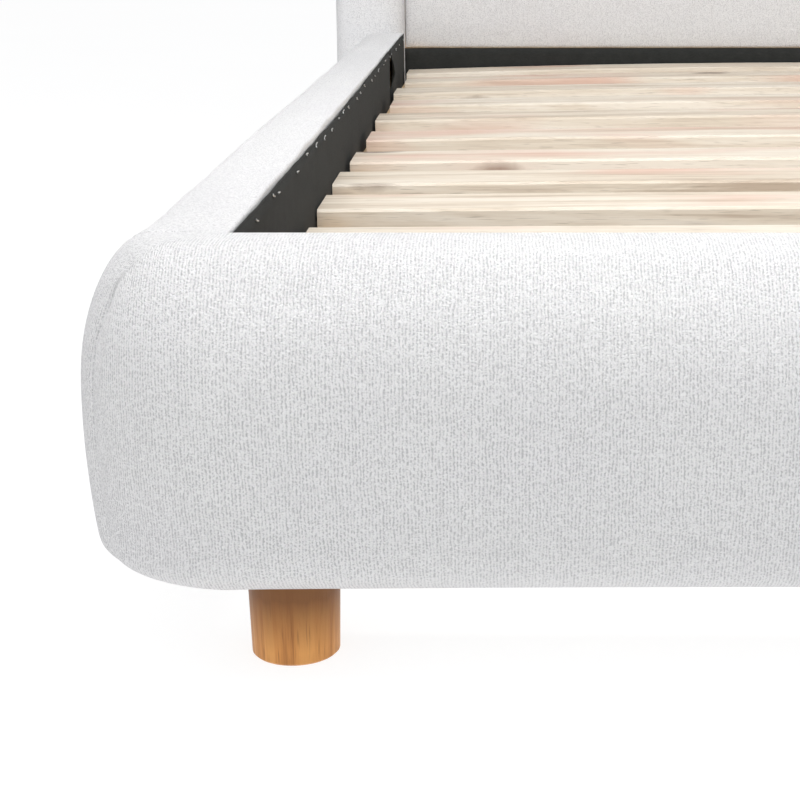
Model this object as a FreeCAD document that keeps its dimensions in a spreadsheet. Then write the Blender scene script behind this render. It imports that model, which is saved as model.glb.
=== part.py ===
import FreeCAD, Part
import os
import re
import Sketcher

os.makedirs("parts", exist_ok=True)

# Upholstered headboard bed for a US queen mattress, in millimetres. +X is across the bed, +Y runs
# from the foot to the headboard and +Z is up. The origin is on the floor, under the middle of the bed.
# A padded foot rail and two padded side rails, each in a long front and a short rear section, carry
# crowned slats on ledges and a centre beam. The headboard has a padded border and a recessed centre.

SIZES = {
    "inner_width": (1545, "clear width between the side rails"),
    "inner_length": (2012, "from the foot rail to the front of the headboard's border"),
    "side_thick": (100, "padded thickness of a side rail"),
    "foot_thick": (100, "padded thickness of the foot rail"),
    "head_thick": (125, "headboard, front of the border to the back"),
    "rail_top": (280, "top of the padded rails above the floor"),
    "rail_low": (48, "underside of the padded rails above the floor"),
    "head_top": (1080, "top of the headboard above the floor"),
    "top_round": (56, "rounding of a rail's outer top edge"),
    "low_round": (36, "rounding of a rail's outer bottom edge"),
    "lip_round": (4, "rounding of a rail's inner top edge"),
    "plan_round": (97, "rounding of the bed's foot corners, seen from above"),
    "rear_length": (400, "length of the rear section of a side rail"),
    "joint_gap": (5, "gap between the two sections of a side rail"),
    "end_gap": (0.4, "gap between one cover and the next"),
    "frame_depth": (45, "depth of the timber frame in a rail"),
    "board_thick": (18, "inner board of a rail's frame"),
    "batten_wide": (30, "battens on a rail's inner board"),
    "frame_above": (20, "padding over the top of a rail's frame"),
    "frame_below": (12, "cover under a rail's frame"),
    "frame_end": (40, "foot rail's frame past the face of a side rail"),
    "fit_gap": (0.3, "gap between a frame and the padding round it"),
    "liner_thick": (1.2, "thickness of the felt lining"),
    "liner_drop": (3, "top edge of the lining below the top of a rail"),
    "liner_low": (20, "bottom edge of the lining above the underside of a rail"),
    "border_wide": (120, "width of the headboard's padded border"),
    "head_proud": (19.5, "side of the headboard out from the side of a rail"),
    "border_round": (20, "rounding of the border's front edges"),
    "border_skirt": (16, "border's padding over the outer edge of the headboard's frame"),
    "head_round": (118, "rounding of the headboard's top corners"),
    "panel_recess": (38, "front of the centre pad behind the front of the border"),
    "pad_thick": (25, "thickness of the centre pad"),
    "panel_low": (250, "bottom edge of the centre pad above the floor"),
    "back_board": (9, "board behind the headboard's padding"),
    "stile_wide": (100, "width of the stiles and rails of the headboard's frame"),
    "cloth_inset": (1.5, "back cloth in front of the back of the border"),
    "cloth_thick": (1, "thickness of the back cloth"),
    "cross_low": (92, "bottom of the cross rail at the head above the floor"),
    "slat_top": (213, "top of a slat at its ends above the floor"),
    "slat_thick": (21, "thickness of a slat"),
    "slat_wide": (92, "width of a slat"),
    "slat_half": (764, "half the length of a slat"),
    "crown_foot": (2, "rise of the first slat at its middle"),
    "crown_head": (13, "rise of the last slat at its middle"),
    "slat_edge": (2.5, "chamfer along a slat's top edges"),
    "slat_first": (123, "front edge of the first slat from the foot rail"),
    "slat_pitch": (184.5, "pitch of the slats"),
    "ledge_wide": (30, "width of the ledge under the slats"),
    "ledge_tall": (28, "height of the ledge under the slats"),
    "ledge_end": (8, "ledge short of each end of its rail section"),
    "beam_wide": (40, "width of the centre beam"),
    "beam_tall": (50, "height of the centre beam"),
    "beam_gap": (2, "gap between the centre beam and an unloaded slat"),
    "beam_end": (1, "centre beam short of the steel of its hangers"),
    "post_wide": (44, "width of a centre support"),
    "post_low": (24, "underside of a centre support above the floor"),
    "post_bore": (4.05, "radius of the hole for an adjusting screw"),
    "bore_deep": (60, "depth of the hole for an adjusting screw"),
    "stem_radius": (4, "radius of an adjusting screw"),
    "stem_long": (45, "length of an adjusting screw above its foot"),
    "pad_radius": (20, "radius of an adjusting foot"),
    "pad_tall": (10, "height of an adjusting foot"),
    "pad_bevel": (2, "bevel round the bottom of an adjusting foot"),
    "leg_top_radius": (31, "radius of a leg at its top"),
    "leg_low_radius": (29.5, "radius of a leg at the floor"),
    "leg_bevel": (1.5, "bevel round the bottom of a leg"),
    "leg_sunk": (9, "foot leg's top pressed up into the padding"),
    "leg_in": (38, "foot leg's axis in from the face of the side rail"),
    "leg_back": (28, "foot leg's axis in front of the inner face of the foot rail"),
    "head_leg_out": (62, "head leg's axis out from the face of the side rail"),
    "head_leg_back": (34, "head leg's axis in front of the back of the headboard"),
    "bolt_radius": (4, "radius of the bolts and large screws"),
    "bolt_bore": (4.1, "radius of the hole for a hanger bolt"),
    "bolt_up": (32, "hanger bolt above the top of its leg"),
    "bolt_down": (27, "hanger bolt below the top of its leg"),
    "bolt_clear": (2, "hole in a leg deeper than its hanger bolt"),
    "steel_thick": (3, "thickness of the steel plates and brackets"),
    "steel_low": (88, "bottom edge of the steel plates above the floor"),
    "steel_tall": (60, "height of the steel plates"),
    "plate_long": (160, "length of a splice plate"),
    "plate_far": (60, "outer screws of a splice plate from the rails' joint"),
    "plate_near": (25, "inner screws of a splice plate from the rails' joint"),
    "bracket_long": (70, "length of each leg of a corner bracket"),
    "bracket_screw": (42, "screw of a corner bracket from its corner"),
    "hanger_long": (45, "length of a beam hanger"),
    "hanger_lip": (8, "top of the centre beam above the sides of its hangers"),
    "tongue_tall": (40, "hanger's back plate below the centre beam"),
    "tongue_screw": (22, "hanger's screw below the centre beam"),
    "screw_head": (8, "radius of a screw's head"),
    "head_tall": (4, "height of a screw's head"),
    "screw_long": (19, "length of a wood screw's shank"),
    "head_screw_in": (60, "headboard's screws in from the top and underside of a rail"),
    "head_screw_bite": (50, "depth of the headboard's screws in the rail's frame"),
    "overshoot": (1, "cutting shapes past the faces they cut"),
    "drill_long": (10, "length of the cutting shape for a hole through steel"),
}

# Slats sit on their ledges as they were laid by hand: some lie nearer the foot than an even
# spacing would put them, and none is quite centred between the rails.
SLAT_NUDGE = (0, 0, 0, -25, -45, -30, -5, -5, 0, 0, -15)
SLAT_DRIFT = (1, -2, -5, -6, -2, 1, -3, 5, -1, 6, 0)

# The centre supports, as shares of the clear length from the foot rail.
POST_SHARES = (0.2, 0.5, 0.8)

doc = FreeCAD.newDocument("upholstered_headboard_bed")
sheet = doc.addObject("Spreadsheet::Sheet", "sizes")
for row, (alias, (number, note)) in enumerate(SIZES.items(), start=1):
    sheet.set(f"A{row}", note)
    sheet.set(f"B{row}", str(number))
    sheet.setAlias(f"B{row}", alias)
doc.recompute()

ALIASES = re.compile(r"\b(" + "|".join(SIZES) + r")\b")
nodes = {}


def bind(text):
    """The text as a FreeCAD expression that reads its sizes from the sheet."""
    return ALIASES.sub(r"sizes.\1", text)


def value(text):
    """The number that an expression gives now."""
    found = sheet.evalExpression(bind(text))
    return float(getattr(found, "Value", found))


def keep(name, piece):
    """Makes an object of the document one of the bed's pieces, named after what it is."""
    piece.Label = name
    nodes[name] = piece
    return piece


def place(piece, x, y, z):
    """Binds an object's position to the sheet."""
    for axis, text in zip("xyz", (x, y, z)):
        piece.setExpression(f"Placement.Base.{axis}", bind(text))


def block(name, across, along, up):
    """A box between two expressions in each direction."""
    piece = doc.addObject("Part::Box", name)
    for side, (low, high) in zip(("Length", "Width", "Height"), (across, along, up)):
        piece.setExpression(side, bind(f"({high}) - ({low})"))
    place(piece, across[0], along[0], up[0])
    return piece


def rod(name, radius, length, start, direction):
    """A cylinder from a starting point along a direction."""
    piece = doc.addObject("Part::Cylinder", name)
    piece.setExpression("Radius", bind(radius))
    piece.setExpression("Height", bind(length))
    piece.Placement.Rotation = FreeCAD.Rotation(FreeCAD.Vector(0, 0, 1), FreeCAD.Vector(*direction))
    place(piece, *start)
    return piece


def cut(name, base, tools):
    """The base with every tool taken out of it."""
    tool = tools[0]
    if len(tools) > 1:
        tool = doc.addObject("Part::MultiFuse", f"{name}_tools")
        tool.Shapes = tools
    piece = doc.addObject("Part::Cut", name)
    piece.Base = base
    piece.Tool = tool
    return piece


def group(name, pieces):
    """Identical pieces that share one node as separate solids."""
    piece = doc.addObject("Part::Compound", name)
    piece.Links = pieces
    return keep(name, piece)


def outline(body, name, plane, points, offset="0"):
    """A closed sketch of straight sides on one of the body's own planes, each corner bound to the sheet."""
    sketch = body.newObject("Sketcher::SketchObject", name)
    origin = next(f for f in body.Origin.OriginFeatures if f.Role == plane)
    sketch.AttachmentSupport = [(origin, "")]
    sketch.MapMode = "FlatFace"
    sketch.setExpression("AttachmentOffset.Base.z", bind(offset))
    corners = [FreeCAD.Vector(value(x), value(y), 0) for x, y in points]
    count = len(corners)
    for k in range(count):
        sketch.addGeometry(Part.LineSegment(corners[k], corners[(k + 1) % count]))
    for k in range(count):
        sketch.addConstraint(Sketcher.Constraint("Coincident", k, 2, (k + 1) % count, 1))
    for k, (x, y) in enumerate(points):
        for kind, text, axis in (("DistanceX", x, -2), ("DistanceY", y, -1)):
            if value(text) == 0:
                sketch.addConstraint(Sketcher.Constraint("PointOnObject", k, 1, axis))
                continue
            index = sketch.addConstraint(Sketcher.Constraint(kind, -1, 1, k, 1, value(text)))
            sketch.setExpression(f"Constraints[{index}]", bind(text))
    return sketch


def extrude(name, plane, points, low, high):
    """A body padded from an outline, between two expressions along the plane's axis."""
    body = doc.addObject("PartDesign::Body", name)
    flipped = plane == "XZ_Plane"
    offset = f"-({low})" if flipped else low
    sketch = outline(body, f"{name}_outline", plane, points, offset)
    pad = body.newObject("PartDesign::Pad", f"{name}_pad")
    pad.Profile = sketch
    pad.Reversed = flipped
    pad.setExpression("Length", bind(f"({high}) - ({low})"))
    doc.recompute()
    return body


def soften(body, radius, wanted, kind="Fillet", size="Radius"):
    """Rounds or bevels the body's edges whose middles the test picks out."""
    base = body.Tip
    picked = []
    for number, edge in enumerate(base.Shape.Edges, start=1):
        middle = edge.valueAt((edge.FirstParameter + edge.LastParameter) / 2)
        if wanted(middle, edge):
            picked.append(f"Edge{number}")
    feature = body.newObject(f"PartDesign::{kind}", f"{body.Name}_{kind.lower()}")
    feature.Base = (base, picked)
    feature.setExpression(size, bind(radius))
    body.Tip = feature
    doc.recompute()
    return body


def close(number, text):
    """True when a coordinate is the one that an expression gives."""
    return abs(number - value(text)) < 0.01


def sides(side, near, far):
    """A span across the bed, mirrored to the left for side -1."""
    if side > 0:
        return near, far
    return f"-({far})", f"-({near})"


NEAR = "inner_width / 2"
FAR = "(inner_width / 2 + side_thick)"
HALF_LONG = "(foot_thick + inner_length + head_thick) / 2"
FOOT_OUT = f"-{HALF_LONG}"
FOOT_IN = f"(foot_thick - {HALF_LONG})"
HEAD_IN = f"({HALF_LONG} - head_thick)"
HEAD_OUT = HALF_LONG
SPLIT = f"({HEAD_IN} - rear_length)"
FRAME_UP = ("rail_low + frame_below", "rail_top - frame_above")
CAVITY_UP = ("rail_low + frame_below - fit_gap", "rail_top - frame_above + fit_gap")
LINER_UP = ("rail_low + liner_low", "rail_top - liner_drop")
LINER_FACE = "(inner_width / 2 - fit_gap - liner_thick)"
LEDGE_OUT = f"({LINER_FACE} - fit_gap)"
SLAT_UNDER = "(slat_top - slat_thick)"
PAD_FRONT = f"({HEAD_IN} + panel_recess)"
BOARD_FRONT = f"({PAD_FRONT} + pad_thick)"
FRAME_FRONT = f"({BOARD_FRONT} + back_board)"
FRAME_BACK = f"({FRAME_FRONT} + frame_depth)"
BEAM_UP = (f"{SLAT_UNDER} + crown_foot - beam_gap - beam_tall", f"{SLAT_UNDER} + crown_foot - beam_gap")
HEAD_FAR = f"({FAR} + head_proud)"
BORDER_IN = f"({HEAD_FAR} - border_wide)"
FOOT_LEG = (f"({NEAR} - leg_in)", f"({FOOT_IN} - leg_back)")
HEAD_LEG = (f"({NEAR} + head_leg_out)", f"({HEAD_OUT} - head_leg_back)")


def windowed(name, across, along, up, windows):
    """A board with battens round its edges: a block with shallow windows cut into one side."""
    base = block(f"{name}_block", across, along, up)
    tools = [block(f"{name}_window_{k + 1}", *spans) for k, spans in enumerate(windows)]
    return keep(name, cut(name, base, tools))


def window_row(low, high, count):
    """Equal spans along a frame, with a batten at each end and between them."""
    clear = f"((({high}) - ({low}) - batten_wide * {count + 1}) / {count})"
    starts = [f"({low}) + batten_wide * {k + 1} + {clear} * {k}" for k in range(count)]
    return [(start, f"{start} + {clear}") for start in starts]


def side_rail(side, hand, part, low, high, windows):
    """One section of a side rail: timber frame, padded cover and felt lining."""
    name = f"{hand}_rail_{part}"
    frame_low = low
    frame_high = BOARD_FRONT if part == "rear" else high
    inside = "(inner_width / 2 + board_thick)"
    outside = "(inner_width / 2 + frame_depth)"
    window_up = ("rail_low + frame_below + batten_wide", "rail_top - frame_above - batten_wide")
    spans = [
        (sides(side, inside, f"{outside} + overshoot"), along, window_up)
        for along in window_row(frame_low, frame_high, windows)
    ]
    windowed(f"{name}_frame", sides(side, NEAR, outside), (frame_low, frame_high), FRAME_UP, spans)

    mark = "" if side > 0 else "-"
    section = [
        (f"{mark}{NEAR}", "rail_low"),
        (f"{mark}{FAR}", "rail_low"),
        (f"{mark}{FAR}", "rail_top"),
        (f"{mark}{NEAR}", "rail_top"),
        (f"{mark}{NEAR}", CAVITY_UP[1]),
        (f"{mark}({outside} + fit_gap)", CAVITY_UP[1]),
        (f"{mark}({outside} + fit_gap)", CAVITY_UP[0]),
        (f"{mark}{NEAR}", CAVITY_UP[0]),
    ]
    cover = extrude(f"{name}_cover", "XZ_Plane", section, f"{low} + end_gap", f"{high} - end_gap")
    far = f"{mark}{FAR}"
    soften(cover, "top_round", lambda p, e: close(p.x, far) and close(p.z, "rail_top"))
    soften(cover, "low_round", lambda p, e: close(p.x, far) and close(p.z, "rail_low"))
    soften(cover, "lip_round", lambda p, e: close(abs(p.x), NEAR) and close(p.z, "rail_top"))
    keep(f"{name}_cover", cover)

    lining = sides(side, LINER_FACE, f"{NEAR} - fit_gap")
    liner_low = f"{low} + liner_thick + fit_gap * 2" if part == "front" else low
    keep(f"{name}_liner", block(f"{name}_liner", lining, (liner_low, f"{high} - end_gap"), LINER_UP))

    ledge = sides(side, f"{LEDGE_OUT} - ledge_wide", LEDGE_OUT)
    ledge_up = (f"{SLAT_UNDER} - ledge_tall", SLAT_UNDER)
    ledge_along = (f"{low} + ledge_end", f"{high} - ledge_end")
    keep(f"{name}_ledge", block(f"{name}_ledge", ledge, ledge_along, ledge_up))


def foot_rail():
    """The padded foot rail, which turns both foot corners of the bed."""
    front_of_board = f"({FOOT_IN} - board_thick)"
    front_of_frame = f"({FOOT_IN} - frame_depth)"
    half = f"({NEAR} + frame_end)"
    up = ("rail_low + frame_below + batten_wide", "rail_top - frame_above - batten_wide")
    spans = [
        (across, (f"{front_of_frame} - overshoot", front_of_board), up)
        for across in window_row(f"-{half}", half, 4)
    ]
    windowed("foot_rail_frame", (f"-{half}", half), (front_of_frame, FOOT_IN), FRAME_UP, spans)

    plan = [(f"-{FAR}", FOOT_OUT), (FAR, FOOT_OUT), (FAR, FOOT_IN), (f"-{FAR}", FOOT_IN)]
    solid = extrude("foot_rail_padding", "XY_Plane", plan, "rail_low", "rail_top")
    soften(
        solid,
        "plan_round",
        lambda p, e: close(abs(p.x), FAR) and close(p.y, FOOT_OUT) and e.Length > value("rail_top") / 2,
    )
    inner = lambda p: close(p.y, FOOT_IN) and abs(p.x) < value(FAR) - 1
    soften(solid, "top_round", lambda p, e: close(p.z, "rail_top") and not inner(p))
    soften(solid, "low_round", lambda p, e: close(p.z, "rail_low") and not inner(p))
    soften(solid, "lip_round", lambda p, e: close(p.z, "rail_top") and inner(p))
    cavity = block(
        "foot_rail_cavity",
        (f"-{half} - fit_gap", f"{half} + fit_gap"),
        (f"{front_of_frame} - fit_gap", f"{FOOT_IN} + overshoot"),
        CAVITY_UP,
    )
    dents = []
    for mark in ("-", ""):
        start = (f"{mark}{FOOT_LEG[0]}", FOOT_LEG[1], "rail_low - overshoot")
        dents.append(rod("leg_dent", "leg_top_radius + fit_gap", "overshoot + leg_sunk + fit_gap", start, (0, 0, 1)))
    keep("foot_rail_cover", cut("foot_rail_cover", solid, [cavity, *dents]))

    face = (f"{FOOT_IN} + fit_gap", f"{FOOT_IN} + fit_gap + liner_thick")
    across = (f"-{NEAR} + fit_gap", f"{NEAR} - fit_gap")
    keep("foot_rail_liner", block("foot_rail_liner", across, face, LINER_UP))


def head_panel(name, half, low, high, along, radius):
    """An upright panel across the head, with its two top corners rounded."""
    front, back = along
    shape = [(f"-({half})", low), (half, low), (half, high), (f"-({half})", high)]
    panel = extrude(name, "XZ_Plane", shape, front, back)
    corner = lambda p, e: close(p.z, high) and close(abs(p.x), half)
    return soften(panel, radius, corner)


def headboard():
    """The headboard: timber frame, board, padded border, recessed centre pad, and back cloth."""
    inner_half = f"{HEAD_FAR} - border_skirt - fit_gap"
    inner_top = "head_top - border_skirt - fit_gap"
    inner_round = "head_round - border_skirt"
    board = head_panel(
        "headboard_board", inner_half, "rail_low", inner_top, (BOARD_FRONT, FRAME_FRONT), inner_round
    )
    keep("headboard_board", board)

    solid = head_panel(
        "headboard_frame_blank", inner_half, "rail_low", inner_top, (FRAME_FRONT, FRAME_BACK), inner_round
    )
    bay = f"((({inner_half}) * 2 - stile_wide * 4) / 3)"
    tools = []
    for k in range(3):
        start = f"-({inner_half}) + stile_wide * {k + 1} + {bay} * {k}"
        across = (start, f"{start} + {bay}")
        for level, (low, high) in enumerate((("rail_low", "panel_low"), ("panel_low", inner_top))):
            up = (f"{low} + stile_wide", f"{high} - stile_wide / 2")
            along = (f"{FRAME_FRONT} - overshoot", f"{FRAME_BACK} + overshoot")
            tools.append(block(f"headboard_bay_{level}_{k}", across, along, up))
    keep("headboard_frame", cut("headboard_frame", solid, tools))

    cloth_front = f"{HEAD_OUT} - cloth_inset - cloth_thick"
    cloth = head_panel(
        "headboard_back_cloth",
        inner_half,
        "rail_low + cloth_inset",
        inner_top,
        (cloth_front, f"{HEAD_OUT} - cloth_inset"),
        inner_round,
    )
    keep("headboard_back_cloth", cloth)

    border_low = "(head_top - border_wide)"
    outer = head_panel("border_top_blank", HEAD_FAR, border_low, "head_top", (HEAD_IN, HEAD_OUT), "head_round")
    soften(outer, "border_round", lambda p, e: close(p.y, HEAD_IN) and not close(p.z, border_low))
    hollow = head_panel(
        "border_top_hollow",
        f"{HEAD_FAR} - border_skirt",
        f"{border_low} - overshoot",
        "head_top - border_skirt",
        (f"{BOARD_FRONT} - fit_gap", f"{HEAD_OUT} + overshoot"),
        "head_round - border_skirt",
    )
    keep("headboard_top_border", cut("headboard_top_border", outer, [hollow]))

    for side, hand in ((-1, "left"), (1, "right")):
        mark = "" if side > 0 else "-"
        near, skirt, far = f"{mark}{BORDER_IN}", f"{mark}({HEAD_FAR} - border_skirt)", f"{mark}{HEAD_FAR}"
        face = f"({BOARD_FRONT} - fit_gap)"
        plan = [(near, HEAD_IN), (far, HEAD_IN), (far, HEAD_OUT), (skirt, HEAD_OUT), (skirt, face), (near, face)]
        name = f"headboard_{hand}_border"
        post = extrude(f"{name}_blank", "XY_Plane", plan, "rail_low", f"{border_low} - fit_gap")
        soften(post, "border_round", lambda p, e: close(p.y, HEAD_IN) and e.Length > value("head_top") / 2)
        stub = block(
            f"{name}_stub",
            sides(side, f"{BORDER_IN} - overshoot", f"{NEAR} + frame_depth + fit_gap"),
            (f"{HEAD_IN} - overshoot", f"{BOARD_FRONT} + overshoot"),
            CAVITY_UP,
        )
        keep(name, cut(name, post, [stub]))

    pad_half = f"{BORDER_IN} - fit_gap"
    across = (f"-({pad_half})", pad_half)
    pad_up = ("panel_low", f"{border_low} - fit_gap")
    pad_along = (PAD_FRONT, f"{BOARD_FRONT} - fit_gap")
    keep("headboard_centre_pad", block("headboard_centre_pad", across, pad_along, pad_up))
    cross_up = ("cross_low", "panel_low - fit_gap")
    keep("head_cross_rail", block("head_cross_rail", across, pad_along, cross_up))
    lining = (f"{PAD_FRONT} - fit_gap - liner_thick", f"{PAD_FRONT} - fit_gap")
    keep("head_rail_liner", block("head_rail_liner", across, lining, cross_up))


def slat(number, nudge, drift):
    """One crowned slat: two arcs joined by short ends, padded to its width, with bevelled top edges."""
    name = f"slat_{number + 1:02d}"
    body = doc.addObject("PartDesign::Body", name)
    sketch = body.newObject("Sketcher::SketchObject", f"{name}_section")
    origin = next(f for f in body.Origin.OriginFeatures if f.Role == "XZ_Plane")
    sketch.AttachmentSupport = [(origin, "")]
    sketch.MapMode = "FlatFace"
    share = number / (len(SLAT_NUDGE) - 1)
    rise = f"(crown_foot + (crown_head - crown_foot) * {share})"
    half, crown = value("slat_half"), value(rise)
    for level in (value(SLAT_UNDER), value("slat_top")):
        left, right = FreeCAD.Vector(-half, level, 0), FreeCAD.Vector(half, level, 0)
        sketch.addGeometry(Part.Arc(left, FreeCAD.Vector(0, level + crown, 0), right))
    under, top = 0, 1
    for x in (half, -half):
        low, high = FreeCAD.Vector(x, value(SLAT_UNDER), 0), FreeCAD.Vector(x, value("slat_top"), 0)
        sketch.addGeometry(Part.LineSegment(low, high))
    right_end, left_end = 2, 3
    for arc, point in ((under, 1), (top, 2)):
        sketch.addConstraint(Sketcher.Constraint("Coincident", arc, 1, right_end, point))
        sketch.addConstraint(Sketcher.Constraint("Coincident", arc, 2, left_end, point))
    bounds = (
        ("DistanceX", right_end, 1, "slat_half"),
        ("DistanceX", right_end, 2, "slat_half"),
        ("DistanceX", left_end, 1, "-slat_half"),
        ("DistanceX", left_end, 2, "-slat_half"),
        ("DistanceY", right_end, 1, SLAT_UNDER),
        ("DistanceY", right_end, 2, "slat_top"),
        ("DistanceY", left_end, 1, SLAT_UNDER),
        ("DistanceY", left_end, 2, "slat_top"),
    )
    for kind, line, point, text in bounds:
        index = sketch.addConstraint(Sketcher.Constraint(kind, -1, 1, line, point, value(text)))
        sketch.setExpression(f"Constraints[{index}]", bind(text))
    bend = f"(slat_half * slat_half + {rise} * {rise}) / (2 * {rise})"
    for arc in (under, top):
        index = sketch.addConstraint(Sketcher.Constraint("Radius", arc, value(bend)))
        sketch.setExpression(f"Constraints[{index}]", bind(bend))
    pad = body.newObject("PartDesign::Pad", f"{name}_pad")
    pad.Profile = sketch
    pad.Reversed = True
    pad.setExpression("Length", "sizes.slat_wide")
    doc.recompute()
    crown_top = value("slat_top") + crown
    soften(body, "slat_edge", lambda p, e: abs(p.z - crown_top) < 0.01, "Chamfer", "Size")
    place(body, f"{drift}", f"{FOOT_IN} + slat_first + slat_pitch * {number} + {nudge}", "0")
    keep(name, body)


def turned(name, profile):
    """A body turned round the upright axis from an outline."""
    body = doc.addObject("PartDesign::Body", name)
    sketch = outline(body, f"{name}_profile", "XZ_Plane", profile)
    turn = body.newObject("PartDesign::Revolution", f"{name}_turn")
    turn.Profile = sketch
    turn.ReferenceAxis = (sketch, ["V_Axis"])
    turn.Angle = 360
    return keep(name, body)


def legs():
    """Four turned wooden legs, each hung on a hanger bolt."""
    bolts = []
    for side, hand in ((-1, "left"), (1, "right")):
        mark = "" if side > 0 else "-"
        for end, (x, y), top in (("foot", FOOT_LEG, "(rail_low + leg_sunk)"), ("head", HEAD_LEG, "rail_low")):
            profile = [
                ("0", "0"),
                ("leg_low_radius - leg_bevel", "0"),
                ("leg_low_radius", "leg_bevel"),
                ("leg_top_radius", top),
                ("bolt_bore", top),
                ("bolt_bore", "rail_low - bolt_down - bolt_clear"),
                ("0", "rail_low - bolt_down - bolt_clear"),
            ]
            leg = turned(f"leg_{end}_{hand}", profile)
            place(leg, f"{mark}{x}", y, "0")
            start = (f"{mark}{x}", y, "rail_low - bolt_down")
            bolts.append(rod(f"hanger_{end}_{hand}", "bolt_radius", "bolt_down + bolt_up", start, (0, 0, 1)))
    group("leg_hanger_bolts", bolts)


def screw(name, start, direction, length):
    """A pan-head screw: its head's underside at the start, its shank along the direction."""
    back = tuple(-part for part in direction)
    head = rod(f"{name}_head", "screw_head", "head_tall", start, back)
    shank = rod(f"{name}_shank", "bolt_radius", length, start, direction)
    piece = doc.addObject("Part::Fuse", name)
    piece.Base = head
    piece.Tool = shank
    return piece


def steelwork():
    """Corner brackets at the foot, splice plates across the rails' joints, and their screws."""
    middle = "steel_low + steel_tall / 2"
    brackets, corner_screws, plates, splice_screws = [], [], [], []
    for side, hand in ((-1, "left"), (1, "right")):
        mark = "" if side > 0 else "-"
        face = f"{mark}{LEDGE_OUT}"
        inner = f"{mark}({LEDGE_OUT} - steel_thick)"
        tip = f"{mark}({LEDGE_OUT} - bracket_long)"
        foot_face = f"({FOOT_IN} + fit_gap * 2 + liner_thick)"
        plan = [
            (face, foot_face),
            (face, f"{foot_face} + bracket_long"),
            (inner, f"{foot_face} + bracket_long"),
            (inner, f"{foot_face} + steel_thick"),
            (tip, f"{foot_face} + steel_thick"),
            (tip, foot_face),
        ]
        bracket = extrude(f"bracket_{hand}", "XY_Plane", plan, "steel_low", "steel_low + steel_tall")
        across = (f"{mark}({LEDGE_OUT} - bracket_screw)", f"{foot_face} + steel_thick", middle)
        along = (inner, f"{foot_face} + bracket_screw", middle)
        foot_spot = (across[0], FOOT_IN, middle)
        side_spot = (f"{mark}{NEAR}", along[1], middle)
        holes = [
            rod(f"bracket_hole_foot_{hand}", "bolt_bore", "drill_long", foot_spot, (0, 1, 0)),
            rod(f"bracket_hole_side_{hand}", "bolt_bore", "drill_long", side_spot, (-side, 0, 0)),
        ]
        brackets.append(cut(f"foot_bracket_{hand}", bracket, holes))
        corner_screws.append(screw(f"foot_screw_{hand}", across, (0, -1, 0), "screw_long"))
        corner_screws.append(screw(f"side_screw_{hand}", along, (side, 0, 0), "screw_long"))

        for level in ("rail_low + head_screw_in", "rail_top - head_screw_in"):
            start = (f"{mark}({NEAR} + board_thick / 2)", FRAME_BACK, level)
            number = len(corner_screws)
            reach = "frame_depth + back_board + head_screw_bite"
            corner_screws.append(screw(f"head_screw_{number}", start, (0, -1, 0), reach))

        plate_along = (f"{SPLIT} - plate_long / 2", f"{SPLIT} + plate_long / 2")
        plate_across = sides(side, f"{LEDGE_OUT} - steel_thick", LEDGE_OUT)
        plate = block(f"plate_{hand}", plate_across, plate_along, ("steel_low", "steel_low + steel_tall"))
        holes = []
        for k, shift in enumerate(("-plate_far", "-plate_near", "plate_near", "plate_far")):
            spot = (inner, f"{SPLIT} + {shift}", middle)
            hole = (f"{mark}{NEAR}", f"{SPLIT} + {shift}", middle)
            holes.append(rod(f"plate_hole_{hand}_{k}", "bolt_bore", "drill_long", hole, (-side, 0, 0)))
            splice_screws.append(screw(f"splice_screw_{hand}_{k}", spot, (side, 0, 0), "screw_long"))
        plates.append(cut(f"splice_plate_{hand}", plate, holes))
    group("corner_brackets", brackets)
    group("corner_screws", corner_screws)
    group("splice_plates", plates)
    group("splice_screws", splice_screws)


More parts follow.
